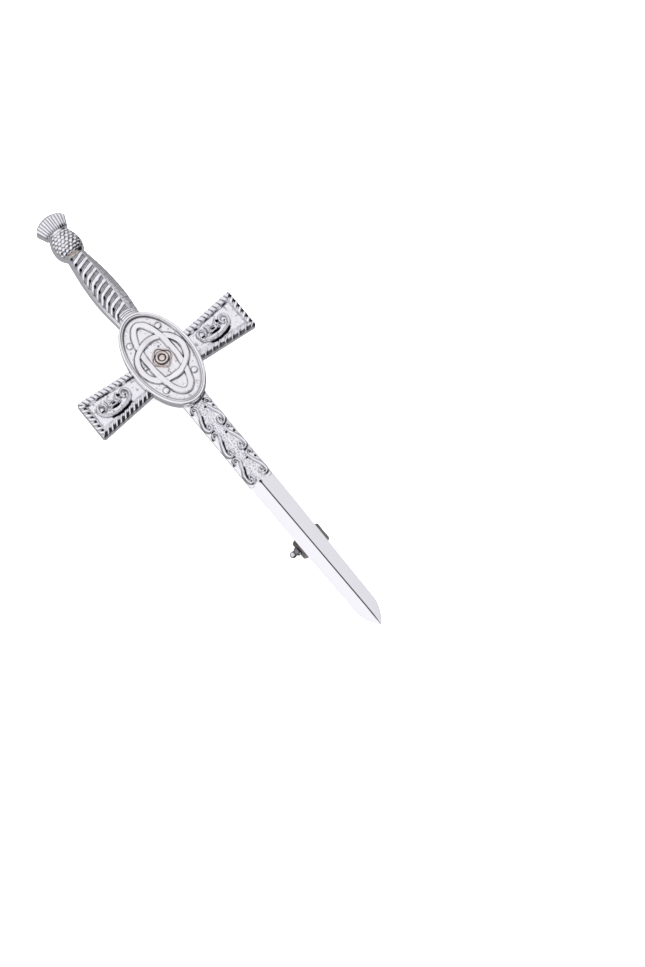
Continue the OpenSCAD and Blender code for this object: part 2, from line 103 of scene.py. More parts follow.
def nearest(x, y, path):
    """Distance of each point from a path, and how far along the path its nearest spot lies."""
    lengths = np.hypot(*np.diff(path, axis=0).T)
    start = np.concatenate([[0], np.cumsum(lengths)])
    best = np.full(x.shape, 1e9)
    share = np.zeros(x.shape)
    for (ax, ay), (bx, by), length, begin in zip(path[:-1], path[1:], lengths, start):
        dx, dy = (bx - ax) / length, (by - ay) / length
        along = np.clip((x - ax) * dx + (y - ay) * dy, 0, length)
        far = np.hypot(x - ax - along * dx, y - ay - along * dy)
        closer = far < best
        best[closer] = far[closer]
        share[closer] = (begin + along[closer]) / start[-1]
    return best, share


def unit(value):
    """The value, kept between 0 and 1."""
    return np.clip(value, 0, 1)


def smooth(value, low, high):
    """0 below low, 1 above high and a soft step between them."""
    t = unit((value - low) / (high - low))
    return t * t * (3 - 2 * t)


def dome(q):
    """Half-round profile: 1 at the middle, 0 from q = 1 outwards."""
    return np.sqrt(unit(1 - q * q))


def grains(x, y, pitch, seed):
    """Round grains as a punch leaves them, one in each cell of a shaken grid: 1 on top, 0 between."""
    shaken = np.random.default_rng(seed).random((CELLS, CELLS, 3))
    best = np.zeros(x.shape)
    column, row = np.floor(x / pitch), np.floor(y / pitch)
    for i in (-1, 0, 1):
        for j in (-1, 0, 1):
            r = shaken[(column + i).astype(int) % CELLS, (row + j).astype(int) % CELLS]
            far = np.hypot(
                (column + i + 0.5 + 0.7 * (r[..., 0] - 0.5)) * pitch - x,
                (row + j + 0.5 + 0.7 * (r[..., 1] - 0.5)) * pitch - y,
            )
            best = np.maximum(best, 1 - (far / (pitch * (0.38 + 0.25 * r[..., 2]))) ** 2)
    return best


def uneven(x, y, pitch, seed):
    """Soft unevenness of hand-cut wax and of the metal cast in it, from -1 to 1."""
    shaken = np.random.default_rng(seed).random((CELLS, CELLS)) * 2 - 1
    column, row = np.floor(x / pitch).astype(int), np.floor(y / pitch).astype(int)
    u, v = smooth(x / pitch - column, 0, 1), smooth(y / pitch - row, 0, 1)
    near, far = (
        shaken[(column + k) % CELLS, row % CELLS] * (1 - v)
        + shaken[(column + k) % CELLS, (row + 1) % CELLS] * v
        for k in (0, 1)
    )
    return near * (1 - u) + far * u


def softened(z, passes=16):
    """The height with its fine relief averaged out."""
    for _ in range(passes):
        z = np.pad(z, 1, mode="edge")
        z = (z[:-2] + 2 * z[1:-1] + z[2:]) / 4
        z = (z[:, :-2] + 2 * z[:, 1:-1] + z[:, 2:]) / 4
    return z


def recess_of(z, depth=0.14, passes=16):
    """How deep each spot lies below what is round it, from 0 to 1: where plate stays dull and gets
    painted shade.
    """
    return unit((softened(z, passes) - z) / depth)


def stations(a, b, step, edge=0.16, fine=4):
    """Places from a to b, closer together beside both ends, where the edges are rounded."""
    ends = edge * (1 - np.cos(np.linspace(0, math.pi / 2, fine, endpoint=False)))
    count = max(2, round((b - a - 2 * edge) / step))
    return np.concatenate([a + ends, np.linspace(a + edge, b - edge, count + 1), (b - ends)[::-1]])


def raised(height, far, width, foot, rise, flat=False):
    """Lays a band on the relief: rounded across, or with a flat top and steep sides."""
    shape = smooth(width - far, 0, 0.3) if flat else (1 - unit(far / width) ** 1.7) ** 0.9
    return np.where(far < width, np.maximum(height, foot + rise * shape), height)


def beside(far, width, reach=0.17):
    """1 along a band's foot, falling to 0 a little way off on both sides."""
    return unit(1 - np.abs(far - width) / reach)


def edge_drop(distance, radius):
    """How far a rounded edge lies below the face at a distance from the edge."""
    inside = np.clip(radius - distance, 0, radius)
    return radius - np.sqrt(np.clip(radius**2 - inside**2, 0, None))


def make_piece(
    name, points, faces, material, body="sword", node="sword", recess=None, crease=38, film=None,
):
    """Makes a mesh in millimetres into a piece that rides on its body and stands for its CAD node.
    Each point tells the material how dull its recess is and how dark its painted shade, and how thick
    its film."""
    mesh = bpy.data.meshes.new(name)
    mesh.from_pydata(np.asarray(points, float) * MM, [], faces)
    mesh.validate()
    mesh.shade_smooth()
    mesh.set_sharp_from_angle(angle=math.radians(crease))
    # Backs and ends are flat right up to their rounded edges
    for face in mesh.polygons:
        if face.loop_total > 4:
            face.use_smooth = False
    for label, given in (("recess", recess), ("film", film)):
        values = np.zeros(len(points), np.float32)
        if given is not None:
            values[: len(given)] = given
        mesh.attributes.new(label, "FLOAT", "POINT").data.foreach_set("value", values)
    mesh.materials.append(material)
    piece = bpy.data.objects.new(name, mesh)
    bpy.context.scene.collection.objects.link(piece)
    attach(piece, body)
    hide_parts(node)


def quads(rows, columns, flip=False):
    """Faces of a grid of points."""
    i, j = np.meshgrid(np.arange(rows - 1), np.arange(columns - 1), indexing="ij")
    a = (i * columns + j).ravel()
    faces = np.stack([a, a + 1, a + columns + 1, a + columns], axis=1)
    return (faces[:, ::-1] if flip else faces).tolist()


def plate(name, x, y, z, material, recess, undercut=0.0, back=BACK_Z, round_back=0.12):
    """A cast plate: a relief on top, walls and a flat back with a rounded edge.
    The walls stand upright, or lean in towards the back by the undercut."""
    rows, columns = x.shape
    top = np.stack([x, y, z], axis=-1).reshape(-1, 3)
    index = np.arange(rows * columns).reshape(rows, columns)
    border = np.concatenate([index[0], index[1:, -1], index[-1, -2::-1], index[-2:0:-1, 0]])
    outline = top[border]
    row, column = np.divmod(border, columns)
    left, right = x.min(axis=1)[row], x.max(axis=1)[row]
    low, high = y.min(axis=0)[column], y.max(axis=0)[column]
    rings = [border]
    points = [top]
    wall = (
        (undercut, round_back),
        (undercut + 0.3 * round_back, 0.3 * round_back),
        (undercut + round_back, 0),
    )
    for inward, height in wall:
        # Narrow rows, such as a blade's point, keep a little of their width
        across = np.minimum(inward, 0.45 * (right - left))
        ring = np.stack([
            np.clip(outline[:, 0], left + across, right - across),
            np.clip(outline[:, 1], low + inward, high - inward),
            np.full(len(border), back + height),
        ], axis=1)
        rings.append(np.arange(len(border)) + sum(len(p) for p in points))
        points.append(ring)
    faces = quads(rows, columns)
    for upper, lower in zip(rings[:-1], rings[1:]):
        faces += np.stack([lower, np.roll(lower, -1), np.roll(upper, -1), upper], axis=1).tolist()
    faces.append(rings[-1][::-1].tolist())
    make_piece(name, np.vstack(points), faces, material, recess=recess.ravel())


def shell(name, sections, material, recess, film):
    """A cast body with a flat back: sections from side to side over the top, closed at both ends."""
    rows, columns = sections.shape[:2]
    faces = quads(rows, columns, flip=True)
    right = np.arange(rows) * columns
    left = right + columns - 1
    faces += np.stack([right[:-1], left[:-1], left[1:], right[1:]], axis=1).tolist()
    faces.append(np.arange(columns).tolist())
    faces.append((np.arange(columns)[::-1] + (rows - 1) * columns).tolist())
    points = sections.reshape(-1, 3)
    make_piece(name, points, faces, material, recess=recess.ravel(), film=film.ravel())


def turned(profile, centre, axis, sides=64, start=0.0, sweep=360.0):
    """Points and faces of a profile [(radius, place along the axis)] turned round an axis.
    A full turn closes on itself, and a part of one is capped at both ends."""
    profile = np.array(profile, float)
    whole = sweep >= 360
    count = sides if whole else max(3, round(sides * sweep / 360))
    angles = np.radians(start + sweep * np.arange(count if whole else count + 1) / count)
    w = np.eye(3)["xyz".index(axis)]
    u, v = np.roll(w, 1), np.roll(w, 2)
    spokes = np.cos(angles)[:, None] * u + np.sin(angles)[:, None] * v
    points = spokes[:, None] * profile[None, :, :1] + w * profile[None, :, 1:] + centre
    n = len(profile)
    rows = len(angles)
    faces = []
    for i in range(rows if whole else rows - 1):
        a, b = i * n, (i + 1) % rows * n
        faces += [[a + k, b + k, b + k + 1, a + k + 1] for k in range(n - 1)]
    if whole:
        if profile[0, 0] > 0:
            faces.append([i * n for i in range(rows)][::-1])
        if profile[-1, 0] > 0:
            faces.append([i * n + n - 1 for i in range(rows)])
    else:
        faces += [[*range(n)], [*range((rows - 1) * n, rows * n)][::-1]]
        faces += [[i * n + n - 1, (i + 1) * n + n - 1, (i + 1) * n, i * n] for i in range(rows - 1)]
    return points.reshape(-1, 3), faces


def joined(*parts):
    """Several sets of points and faces as one."""
    points, faces, count = [], [], 0
    for p, f in parts:
        points.append(np.asarray(p, float))
        faces += [[k + count for k in face] for face in f]
        count += len(p)
    return np.vstack(points), faces


def slab(outline, low, high, bevel, axis):
    """An outline thickened along an axis from low to high, with bevelled edges."""
    outline = np.array(outline, float)
    along = np.roll(outline, -1, axis=0) - np.roll(outline, 1, axis=0)
    outward = np.stack([along[:, 1], -along[:, 0]], axis=1)
    outward /= np.linalg.norm(outward, axis=1)[:, None]
    rings = []
    for inward, place in ((bevel, low), (0, low + bevel), (0, high - bevel), (bevel, high)):
        flat = outline - outward * inward
        level = np.full(len(flat), place)
        order = {"x": (level, flat[:, 0], flat[:, 1]), "z": (flat[:, 0], flat[:, 1], level)}[axis]
        rings.append(np.stack(order, axis=1))
    n = len(outline)
    faces = [[*range(n)][::-1], [*range(3 * n, 4 * n)]]
    for k in range(3):
        a, b = k * n, (k + 1) * n
        faces += [[a + i, a + (i + 1) % n, b + (i + 1) % n, b + i] for i in range(n)]
    return np.vstack(rings), faces


def tube(path, radii, sides=32):
    """Points and faces of a round wire along a path, closed at both ends."""
    path = np.array(path, float)
    ahead = np.gradient(path, axis=0)
    ahead /= np.linalg.norm(ahead, axis=1)[:, None]
    side = np.array([1.0, 0, 0])
    angles = np.linspace(0, 2 * math.pi, sides, endpoint=False)
    rings = []
    for p, d, r in zip(path, ahead, radii):
        u = side - d * (side @ d)
        u /= np.linalg.norm(u)
        v = np.cross(d, u)
        rings.append(p + r * (np.cos(angles)[:, None] * u + np.sin(angles)[:, None] * v))
    faces = []
    for k in range(len(path) - 1):
        a, b = k * sides, (k + 1) * sides
        faces += [[a + i, a + (i + 1) % sides, b + (i + 1) % sides, b + i] for i in range(sides)]
    faces.append([*range(sides)][::-1])
    faces.append([*range((len(path) - 1) * sides, len(path) * sides)])
    return np.vstack(rings), faces


def linear(code):
    """Blender's linear colour for an sRGB hex value."""
    parts = [int(code[k : k + 2], 16) / 255 for k in (1, 3, 5)]
    return (*(c / 12.92 if c <= 0.04045 else ((c + 0.055) / 1.055) ** 2.4 for c in parts), 1.0)


def add(tree, kind, settings=None, **links):
    """Adds a node with its settings, and links its inputs by name or place."""
    node = tree.nodes.new(kind)
    for key, value in (settings or {}).items():
        setattr(node, key, value)
    for key, value in links.items():
        place = int(key[1:]) if key[0] == "_" and key[1:].isdigit() else key.replace("_", " ")
        socket = node.inputs[place]
        if isinstance(value, bpy.types.NodeSocket):
            tree.links.new(value, socket)
        else:
            socket.default_value = value
    return node


def blend(tree, amount, first, second):
    """Two colours mixed."""
    return add(tree, "ShaderNodeMix", {"data_type": "RGBA"}, _0=amount, _6=first, _7=second).outputs[2]


def soft_step(tree, value, none, full, most=1.0):
    """How far a value has come from none to full, softly."""
    return add(
        tree, "ShaderNodeMapRange", {"interpolation_type": "SMOOTHSTEP"},
        Value=value, From_Min=none, From_Max=full, To_Max=most,
    ).outputs["Result"]


def chrome(
    name, plate_colour, dark_colour, shine, grain_mm, grain_high,
    dark_shine=0.4, stain=0.0, stain_colour="#8A7768",
):
    """Bright plate over a casting, a wire or a turned part. The plate is a mirror where it was buffed.
    In the recesses, which no buff reaches, it stays dull, and its colour darkens there: partly a dark
    film, partly painted shade."""
    material = bpy.data.materials.new(name)
    material.use_nodes = True
    tree = material.node_tree
    tree.nodes.clear()
    place = add(tree, "ShaderNodeTexCoord").outputs["Object"]
    depth = add(tree, "ShaderNodeAttribute", {"attribute_name": "recess"}).outputs["Fac"]
    # Film: soft clouds about 3 mm wide
    clouds = add(tree, "ShaderNodeTexNoise", Vector=place, Scale=0.35 / MM, Detail=3.0, Roughness=0.6)
    thin = soft_step(tree, clouds.outputs["Fac"], 0.5, 0.72, stain)
    held = add(tree, "ShaderNodeAttribute", {"attribute_name": "film"}).outputs["Fac"]
    film = add(tree, "ShaderNodeMath", {"operation": "MAXIMUM"}, _0=thin, _1=held)
    buffed = blend(tree, film.outputs[0], linear(plate_colour), linear(stain_colour))
    # The recess attribute darkens the colour: painted shade, partly a dark film
    colour = blend(tree, depth, buffed, linear(dark_colour))
    gloss = add(tree, "ShaderNodeMapRange", Value=depth, To_Min=shine, To_Max=dark_shine)
    # Fine unevenness that plating leaves over a casting
    bumps = add(tree, "ShaderNodeTexNoise", Vector=place, Scale=1 / (grain_mm * MM), Detail=2.0)
    relief = add(
        tree, "ShaderNodeBump",
        Strength=1.0, Distance=grain_high * MM, Height=bumps.outputs["Fac"],
    )
    surface = add(
        tree, "ShaderNodeBsdfPrincipled",
        Base_Color=colour, Roughness=gloss.outputs["Result"],
        Normal=relief.outputs["Normal"], Metallic=1.0,
    )
    add(tree, "ShaderNodeOutputMaterial", Surface=surface.outputs["BSDF"])
    return material


# The plain blade and the seat, buffed flat
MIRROR = chrome(
    "chrome_mirror_polished", "#F6F5FA", "#0C0B0D", shine=0.07, grain_mm=0.9, grain_high=0.0015,
)
# The rest of the casting, dull where no buff went and darkened there with painted shade
RELIEF = chrome(
    "chrome_cast_relief", "#F5F4F9", "#141416", shine=0.12, grain_mm=0.22, grain_high=0.006,
)
# The medallion, finely brushed, with a trace of warm film
SATIN = chrome(
    "chrome_satin_field", "#F7F6FA", "#050506", shine=0.13, grain_mm=0.14, grain_high=0.007,
    stain=0.15, stain_colour="#CDB9AE",
)
# The pin, the rotor and the rivet, greyer and warmer than the casting
STEEL = chrome(
    "nickel_plated_wire", "#D9D7DC", "#221F20", shine=0.16, grain_mm=0.3, grain_high=0.002,
    stain=0.3, stain_colour="#A79C94",
)
# What is soldered or hammered to the back, duller, with brown clouds of tarnish; its darker colour is
# partly painted shade
TARNISHED_SHADED = chrome(
    "nickel_tarnished_shaded_findings", "#A29A97", "#17110E", shine=0.22, grain_mm=0.3, grain_high=0.004,
    dark_shine=0.5, stain=0.9, stain_colour="#5A4438",
)


def plain_blade():
    """Two mirror facets that meet in a ridge, with a fine line scored along it."""
    # How far the blade runs on under the ornate part, where its top dips
    tuck = 0.75
    edge_h, ridge_h = 0.7, 0.8
    score_w, score_deep = 0.17, 0.16
    turn = np.linspace(0.12, math.pi / 2, 26)
    straight = np.linspace(POINT_L, ORNATE_Y + tuck - POINT_Y, 150)[1:]
    s = np.concatenate([POINT_L * (1 - np.cos(turn)), straight])
    rise = unit(s / POINT_L)
    growth = unit((s - POINT_L) / (ORNATE_Y - POINT_Y - POINT_L))
    narrow = (1 - (1 - rise) ** 1.6) ** 0.85
    half = (BLADE_LOW_W + (BLADE_W - BLADE_LOW_W) * growth) / 2 * narrow
    t = np.unique(np.concatenate([stations(-1, 1, 0.05, 0.04, 4), np.linspace(-0.24, 0.24, 65)]))
    x = half[:, None] * t
    y = np.repeat((POINT_Y + s)[:, None], len(t), axis=1)
    # The ridge was ground by hand: it leaves the point in the middle and ends 0.36 mm to the left
    wander = -0.36 * (y - POINT_Y) / (ORNATE_Y - POINT_Y)
    across = (x - wander) / (half[:, None] - wander * np.sign(x - wander) + 1e-9)
    z = edge_h + ridge_h * unit(1 - np.abs(across)) * narrow[:, None]
    z = z - edge_drop((1 - np.abs(t)) * half[:, None], 0.07)
    line_w = np.minimum(score_w, 0.1 * half[:, None] + 0.02)
    line = unit(1 - np.abs(x - wander) / line_w)
    z = z - score_deep * line * unit(rise[:, None] * 3)
    z = z - 0.9 * smooth(y, ORNATE_Y + 0.25, ORNATE_Y + 0.7)
    # The scored line starts in a small pit below the ornate part
    start = unit(1.4 - np.hypot((x - wander) / 0.3, (y - ORNATE_Y - 0.1) / 0.35))
    # The scored line and its pit are darkened with painted shade
    dark = unit(1.5 * line + start)
    plate("plain_blade", x, y, BACK_Z + z, MIRROR, dark, undercut=0.2, back=BACK_Z + BACK_STEP)


# Across as a share of half the blade's width, and up as a share of one pair's length
S_SCROLL = [
    (0.62, 0.22), (0.5, 0.3), (0.36, 0.25), (0.34, 0.14), (0.52, 0.07), (0.74, 0.1), (0.84, 0.22),
    (0.76, 0.42), (0.54, 0.64), (0.38, 0.82), (0.42, 0.93), (0.6, 0.975), (0.78, 0.92), (0.8, 0.83),
]


def ornate_blade():
    """Three pairs of S-scrolls on a grained ground, with sloping sides between them."""
    foot, pairs = 0.35, 3
    ground_h, scroll_h, grained_w = 1.06, 0.5, 1.1
    pitch = (SEAT_Y - ORNATE_Y - 2 * foot) / pairs
    half = BLADE_W / 2
    xs = stations(-half, half, 0.045)
    lobe = half / 2
    low = ORNATE_Y + 0.5 * np.abs((np.abs(xs) - lobe) / lobe) ** 5
    share = np.concatenate([np.linspace(0, 0.012, 5)[:-1], np.linspace(0.012, 1, 460)])
    y = low + share[:, None] * (SEAT_Y + 1.2 - low)
    x = np.repeat(xs[None], len(share), axis=0)
    side = np.abs(x)
    height = ground_h - 0.32 * smooth(side, 1.9, half) + 0.03 * uneven(x, y, 0.5, 41)
    wx = side + 0.09 * uneven(x, y, 0.9, 42)
    wy = y + 0.09 * uneven(x, y, 0.9, 43)
    height += 0.11 * (grains(x, y, 0.36, 5) - 0.5) * smooth(grained_w - side, -0.3, 0.1)
    dark = 0.5 * smooth(grains(x, y, 0.62, 6), 0.8, 0.95) * (side < grained_w)
    for k in range(pairs):
        base = ORNATE_Y + foot + pitch * k
        path = curve([(p * half, base + q * pitch) for p, q in S_SCROLL])
        near = (y > base - 0.8) & (y < base + pitch + 0.8)
        far = np.full(x.shape, 9.0)
        along = np.zeros(x.shape)
        far[near], along[near] = nearest(wx[near], wy[near], path)
        width = 0.2 + 0.14 * np.sin(math.pi * unit(along)) ** 0.7
        height = raised(height, far, width, ground_h, scroll_h)
        # Painted shade along each scroll's foot
        dark = np.maximum(dark, (0.45 + 0.3 * uneven(x, y, 0.7, 44)) * beside(far, width, 0.13))
        # Small pits that the modeller's tool left beside the scrolls, darkened with painted shade:
        # share of the half width and of the pitch, length across and along in mm, and the side that
        # each one is on
        for px, py, wide, long, hand in (
            (0.8, 0.69, 0.24, 0.24, 1), (0.52, 1.02, 0.34, 0.17, 0), (0.24, 0.79, 0.2, 0.2, 1),
            (0.86, 0.84, 0.2, 0.3, -1), (0.6, 0.16, 0.13, 0.13, 0), (0.62, 0.88, 0.15, 0.15, 0),
        ):
            offset = np.hypot((side - px * half) / wide, (y - base - py * pitch) / long)
            hole = unit(1.25 - offset) * ((x * hand > 0) | (hand == 0))
            height = height - 0.22 * hole * (far > 0.7 * width)
            dark = np.maximum(dark, unit(1.6 * hole) * (far > 0.7 * width))
        # A dip along the inner side of each S-body, darkened with painted shadow
        streak = np.array([(0.42 * half, base + 0.6 * pitch), (0.7 * half, base + 0.3 * pitch)])
        far_streak, _ = nearest(-x, y, streak)
        hole = unit(1.2 - far_streak / 0.2) * (far > 0.8 * width)
        height = height - 0.2 * hole
        dark = np.maximum(dark, 0.9 * hole)
    # The medallion's edge keeps the buff out of the corner below it, which stays dull and gets painted
    # shadow, weaker at its left end
    below = OVAL_Y - OVAL_B * np.sqrt(1 - (x / OVAL_A) ** 2) - y
    dark = np.maximum(dark, smooth(0.42 - below, 0, 0.3) * (0.2 + 0.65 * smooth(x, -1.2, -0.4)))
    z = height - edge_drop(np.minimum(half - side, y - low), 0.12)
    dark = unit(dark + 0.2 * recess_of(z, 0.2))
    plate("ornate_blade", x, y, BACK_Z + z, RELIEF, dark)


# Across and up from the middle of an arm's ornament, as shares of half the C-scroll's length
C_HALF = [
    (0.66, -0.02), (0.54, 0.1), (0.56, 0.3), (0.74, 0.42), (0.92, 0.35), (1, 0.17), (0.96, -0.03),
    (0.84, -0.21), (0.6, -0.36), (0.3, -0.45),
]
C_SCROLL = [*C_HALF, (0, -0.47), *((-p, q) for p, q in C_HALF[::-1])]
LEAF = [(0.36, 0.0), (0.31, 0.17), (0.3, 0.3), (0.37, 0.46)]
CLEFT = [(-0.22, 0.48), (-0.1, 0.33), (0.01, 0.27), (0.14, 0.34), (0.34, 0.5)]


def rope_border(across, along, pitch, slant, lean):
    """Height of a twisted rope, and how deep its gaps are. Leaner strands leave wider gaps."""
    strand = (along + 0.6 * slant * across) / pitch
    strand = smooth(1 - 2 * np.abs(strand - np.round(strand)), lean, lean + 0.45)
    return dome(across) ** 0.45 * (0.3 + 0.7 * strand), 1 - strand


def arm(side):
    """An arm with a rope border, a thin groove, a grained field and a C-scroll with a bud in it."""
    name = "arm_right" if side > 0 else "arm_left"
    seed = 20 if side > 0 else 30
    rim_h, rope_h, field_h, field_drop = 1.34, 0.7, 1.5, 0.14
    end = SPAN / 2
    out = stations(ARM_IN, end, 0.055)
    corner = 0.6
    straight = (ARM_IN_W + (ARM_OUT_W - ARM_IN_W) * (out - ARM_IN) / (end - ARM_IN)) / 2
    near_end = np.clip(out - (end - corner), 0, corner)
    half = straight - corner + np.sqrt(np.clip(corner**2 - near_end**2, 0, None))
    t = stations(-1, 1, 0.0135, 0.045, 4)
    u = np.repeat(out[:, None], len(t), axis=1)
    v = half[:, None] * t
    edge = np.minimum(half[:, None] * (1 - np.abs(t)), end - u)
    # The wax was cut by hand, so no line of the relief runs quite straight
    wu = u + 0.07 * uneven(u, v, 0.8, seed)
    wv = v + 0.07 * uneven(u, v, 0.8, seed + 1)
    to_top, to_bottom, to_end = straight[:, None] - wv, straight[:, None] + wv, end - wu
    wides = (1.25, 1.5 if side < 0 else 1.4, 1.2)
    inner = np.minimum(np.minimum(to_top - wides[0], to_bottom - wides[1]), to_end - wides[2])
    inside = smooth(inner, 0.25, 0.38)
    field = field_h - field_drop * inside
    ground = 0.06 * (grains(u, v, 0.3, seed + 2) - 0.5) + 0.06 * uneven(u, v, 0.5, seed + 3)
    field = field + ground * inside
    dark = 0.5 * smooth(uneven(u, v, 0.45, seed + 4), 0.45, 0.8) * inside
    pitches = (0.95, 1.45, 1.25) if side > 0 else (0.95, 1.08, 1.05)
    # Each run of the rope: its distance from the edge and the way along it, its slant, how dark the
    # painted shade in its gaps is on either side, which side is darker (the one below, or the one
    # towards +X), its lean
    lean = 0.5 if side > 0 else 0.3
    runs = (
        (to_top, wu * side, -0.5, 0.08, 0.35, 1, 0), (to_bottom, wu * side, -0.9, 0.1, 0.88, -1, lean),
        (to_end, wv, 0.6, 0.15, 0.9, -side, 0.2),
    )
    rope = np.zeros(u.shape)
    groove_dark = np.zeros(u.shape)
    for (far, along, slant, light, deep, way, lean), pitch, wide in zip(runs, pitches, wides):
        across = 2 * far / wide - 1
        strands, gaps = rope_border(across, along, pitch, slant, lean)
        here = (far < wide) & (far - wide <= inner + 1e-6)
        rope = np.where(here, np.maximum(rope, strands), rope)
        reach = -0.4 if far is to_bottom and side < 0 else -0.1
        depth = light + (deep - light) * smooth(way * across, reach, reach + 0.3)
        dark = np.where(here, depth * gaps * smooth(far, -0.02, 0.12), dark)
        # Painted shade in the groove inside the rope, heaviest inside the top run
        groove_shade = smooth(uneven(u, v, 0.7, seed + 5), -0.4, 0.3) * (0.9 if far is to_top else 0.3)
        groove_dark = np.where((far - wide <= inner + 1e-6) & (far >= wide), groove_shade, groove_dark)
    height = np.where(inner < 0, rim_h + rope_h * rope, field)
    groove = dome((inner - 0.08) / 0.17)
    height = height - 0.18 * groove
    dark = np.maximum(dark, groove * groove_dark)
    middle, wide = (11.2, 3.3) if side > 0 else (12.05, 3.4)
    cu, cv = side * (wu - middle), wv
    # Each band's path, half width at its ends and middle, height, and how dark the painted shade at its
    # foot is
    bands = (
        (C_SCROLL, 0.27, 0.33, 0.66, 0.62),
        (LEAF, 0.2, 0.24, 0.45, 0.3),
        ([(-p, q) for p, q in LEAF], 0.2, 0.24, 0.45, 0.3),
    )
    for path, thin, thick, rise, outline in bands:
        far, along = nearest(cu, cv, curve([(p * wide, q * wide) for p, q in path]))
        width = thin + (thick - thin) * np.sin(math.pi * along)
        height = raised(height, far, width, 1.38, rise)
        line = (outline + 0.2 * uneven(u, v, 0.6, seed + 6)) * beside(far, width, 0.13)
        dark = np.where(far > 0.75 * width, np.maximum(dark, line), dark * (far > width))
        if path is C_SCROLL:
            # A deep cut under the C's back, darkened with painted shadow
            under = dome((far - width - 0.14) / 0.24) * smooth(-cv, 0.2 * wide, 0.3 * wide)
            under = under * smooth(2.6 - np.abs(cu - 0.45), 0, 0.5)
            under = under * (np.hypot(cu / wide, cv / (0.47 * wide)) > 0.97)
    # Painted shade along the cleft
    far, _ = nearest(cu, cv, curve([(p * wide, q * wide) for p, q in CLEFT]))
    dark = np.maximum(dark, 0.6 * unit(1.2 - far / 0.12))
    # The bud, between two arcs
    lens_r, lens_h = 1.57, 1.07
    lens = np.hypot(cu, np.abs(cv - 0.1 * wide) + lens_h) - lens_r
    height = raised(height, np.abs(lens), 0.2, 1.4, 0.5)
    dark = np.where(np.abs(lens) < 0.16, 0, dark)
    # Deep spots in the bud, under it, beside the petals and in both curls, darkened with painted
    # shadow:
    # place, as in the lists above, half length and half height in mm, and bend
    spots = (
        (-0.02, 0.1, 0.4, 0.19, 0), (0.03, -0.14, 1.15, 0.19, 0.1), (0.41, 0.31, 0.3, 0.28, 0),
        (-0.75, 0.03, 0.4, 0.18, 0), (0.76, 0.08, 0.2, 0.14, 0),
    )
    for across, up, long, high, bend in spots:
        du, dv = cu - across * wide, cv - up * wide
        hole = unit(2.4 * (1.15 - np.hypot(du / long, (dv - bend * du**2) / high)))
        under = np.maximum(under, hole)
    height = height - 0.25 * under
    dark = np.maximum(dark, under)
    # Beside the medallion the buff can't reach, so the arm stays dull there and gets painted shade
    from_oval = np.hypot(u, (v + ARM_Y - OVAL_Y) / OVAL_B * OVAL_A)
    dark = np.maximum(dark, 0.4 * smooth(OVAL_A + 0.3 - from_oval, 0, 0.3))
    z = height - edge_drop(edge, 0.1)
    dark = unit(dark + 0.2 * recess_of(z, 0.2))
    x, y = side * u, ARM_Y + v
    if side < 0:
        x, y, z, dark = (grid[::-1] for grid in (x, y, z, dark))
    plate(name, x.T, y.T, BACK_Z + z.T, RELIEF, dark.T)


def seat():
    """The casting's oval seat under the medallion."""
    angles = np.linspace(0, 2 * math.pi, 160, endpoint=False)
    a, b = OVAL_A - 0.1, OVAL_B - 0.1
    outline = [(a * math.cos(angle), OVAL_Y + b * math.sin(angle)) for angle in angles]
    points, faces = slab(outline, BACK_Z - BACK_STEP, SEAT_Z, 0.1, "z")
    make_piece("medallion_seat", points, faces, MIRROR)


